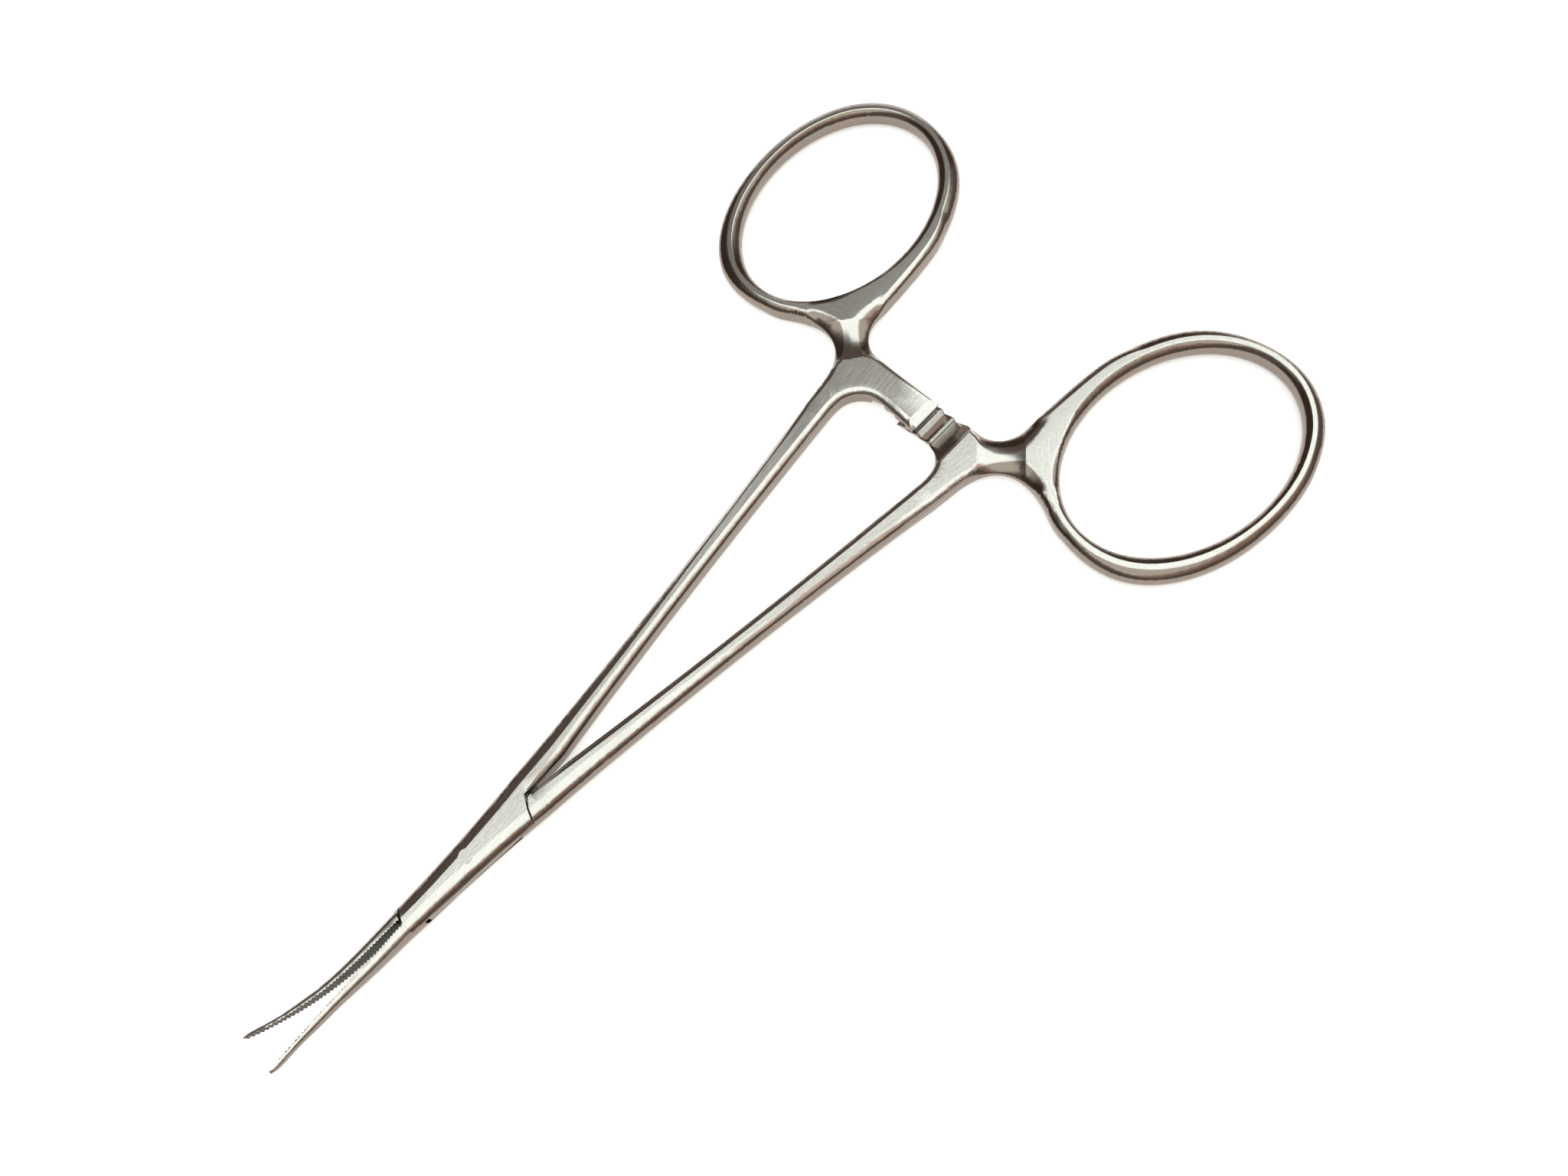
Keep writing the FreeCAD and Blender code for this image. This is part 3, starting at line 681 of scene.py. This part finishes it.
@dataclass
class Studio:
    """White table under a soft window, with a ceiling, a warm reflector, a dark screen and dim walls."""

    table_size: float = 4.0
    table_gap: float = 0.00002
    table_colour: Colour = rgb(0.9, 0.89, 0.88)
    table_glow: float = 0.4
    window: SoftLight = SoftLight(rgb(0.97, 1.0, 0.95), 1.6, (-0.8, 1.1), (-0.7, 0.43), 0.04)
    reflector: SoftLight = SoftLight(rgb(1.0, 0.74, 0.6), 0.75, (-1.0, 1.3), (-1.4, -0.7), 0.12)
    ceiling: SoftLight = SoftLight(rgb(0.96, 0.92, 0.88), 0.36, (-1.2, 1.5), (-0.4, 0.75), 0.15)
    screen: SoftLight = SoftLight(rgb(1.0, 0.76, 0.6), 0.11, (-4.0, 4.0), (0.43, 80.0), 0.05)
    walls: Colour = rgb(1.0, 0.88, 0.78)
    wall_light: float = 0.28
    lowest: float = 0.02
    fill: float = 0.6

    def table(self) -> None:
        """Lay the table top under the forceps."""
        work = bmesh.new()
        bmesh.ops.create_grid(work, x_segments=1, y_segments=1, size=self.table_size / 2)
        mesh = bpy.data.meshes.new("table_top")
        work.to_mesh(mesh)
        work.free()
        top = bpy.data.objects.new("table_top", mesh)
        bpy.context.scene.collection.objects.link(top)
        top.location.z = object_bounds()[0][2] - self.table_gap
        material = bpy.data.materials.new("white_table")
        material.use_nodes = True
        graph = Graph(material.node_tree)
        surface = graph.add("ShaderNodeBsdfDiffuse", None, {"Color": self.table_colour})
        glow = graph.add("ShaderNodeEmission", None, {"Color": rgb(1, 1, 1), "Strength": self.table_glow})
        lit = graph.add("ShaderNodeAddShader", None, {0: surface, 1: glow})
        shader = graph.add("ShaderNodeMixShader", None, {0: self.seen(graph), 1: surface, 2: lit})
        graph.show("ShaderNodeOutputMaterial", shader)
        mesh.materials.append(material)
        top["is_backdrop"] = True

    @staticmethod
    def seen(graph: Graph) -> Wire:
        """1 for rays that come from the camera, a reflection or glass, 0 for light on other surfaces."""
        path = graph.add("ShaderNodeLightPath").socket.node
        names = ("Is Camera Ray", "Is Glossy Ray", "Is Transmission Ray")
        camera, glossy, through = (Wire(graph, path.outputs[name]) for name in names)
        return camera.larger(glossy).larger(through)

    def light(self) -> None:
        """Light the table from above, with a plain fill for matt surfaces."""
        world = bpy.data.worlds.new("studio")
        world.use_nodes = True
        bpy.context.scene.world = world
        graph = Graph(world.node_tree)
        way = graph.add("ShaderNodeTexCoord", None, None, "Generated")
        split = graph.add("ShaderNodeSeparateXYZ", None, {0: way}).socket.node
        x, y, z = (Wire(graph, part) for part in split.outputs)
        height = z.larger(self.lowest)
        light = graph.scaled(self.walls, self.wall_light)
        for lamp in (self.screen, self.ceiling, self.reflector, self.window):
            share = lamp.amount(x / height, y / height)
            light = graph.mix(share, light, graph.scaled(lamp.colour, lamp.strength))
        path = graph.add("ShaderNodeLightPath").socket.node
        matt = Wire(graph, path.outputs["Is Diffuse Ray"])
        camera = Wire(graph, path.outputs["Is Camera Ray"])
        room = graph.add("ShaderNodeBackground", None, {"Color": light, "Strength": 1.0})
        filler = graph.add("ShaderNodeBackground", None, {"Color": rgb(1, 1, 1), "Strength": matt * self.fill})
        room = graph.add("ShaderNodeAddShader", None, {0: room, 1: filler})
        white = graph.add("ShaderNodeBackground", None, {"Color": rgb(1, 1, 1), "Strength": 1.0})
        shader = graph.add("ShaderNodeMixShader", None, {0: camera, 1: room, 2: white})
        graph.show("ShaderNodeOutputWorld", shader)


@dataclass
class PhotoCamera:
    """Camera at the photograph's viewpoint, in millimetres from the pivot."""

    place: tuple[float, float, float] = (21.646, -53.125, 129.542)
    right: tuple[float, float, float] = (0.69293, -0.70374, -0.15685)
    down: tuple[float, float, float] = (-0.70487, -0.61542, -0.35273)
    ahead: tuple[float, float, float] = (0.15171, 0.35497, -0.92249)
    focal_pixels: float = 1700.0
    picture_width: float = 2048.0
    sensor_width: float = 36.0

    def make(self) -> bpy.types.Object:
        """Create the camera and give it to the scene.

        Returns:
            The camera.
        """
        data = bpy.data.cameras.new("photo_camera")
        data.sensor_width = self.sensor_width
        data.lens = self.focal_pixels * self.sensor_width / self.picture_width
        data.clip_start = 0.001
        camera = bpy.data.objects.new("photo_camera", data)
        bpy.context.scene.collection.objects.link(camera)
        turn = Matrix((self.right, [-part for part in self.down], [-part for part in self.ahead])).transposed()
        camera.matrix_world = Matrix.Translation(Vector(self.place) * MM) @ turn.to_4x4()
        bpy.context.scene.camera = camera
        return camera


def main() -> None:
    """Build and dress the forceps, lay the table under it, light it and set up the camera."""
    logging.basicConfig(level=logging.INFO, format="%(message)s")
    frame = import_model()
    edge, neck = GroundEdge(), NeckForm()
    # Painted shade: near-black steel for the serrations and the box joint faces, where shade falls between the
    # parts.
    dark = {"tint": rgb(0.07, 0.062, 0.05), "worn": rgb(0.13, 0.12, 0.1), "dull": rgb(0.03, 0.027, 0.022),
            "flank_painted_shade_share": 0.0}
    pieces = [
        SteelPiece("box_half", "box_body", "box_half_steel", SatinSteel("box_half_satin", Side.UPPER),
                   edge, neck, SatinSteel("box_half_painted_shade", Side.UPPER, **dark)),
        SteelPiece("through_half", "through_body", "through_half_steel",
                   SatinSteel("through_half_satin", Side.LOWER),
                   edge, neck, SatinSteel("through_half_painted_shade", Side.LOWER, **dark)),
        SteelPiece("pivot_pin", "box_body", "pin_steel", SatinSteel("pin_ground"), edge),
    ]
    for piece in pieces:
        piece.build(frame["nodes"])
        piece.dress()
    studio = Studio()
    studio.table()
    studio.light()
    PhotoCamera().make()
    bpy.context.scene.view_settings.view_transform = "Standard"


if __name__ == "__main__":
    main()
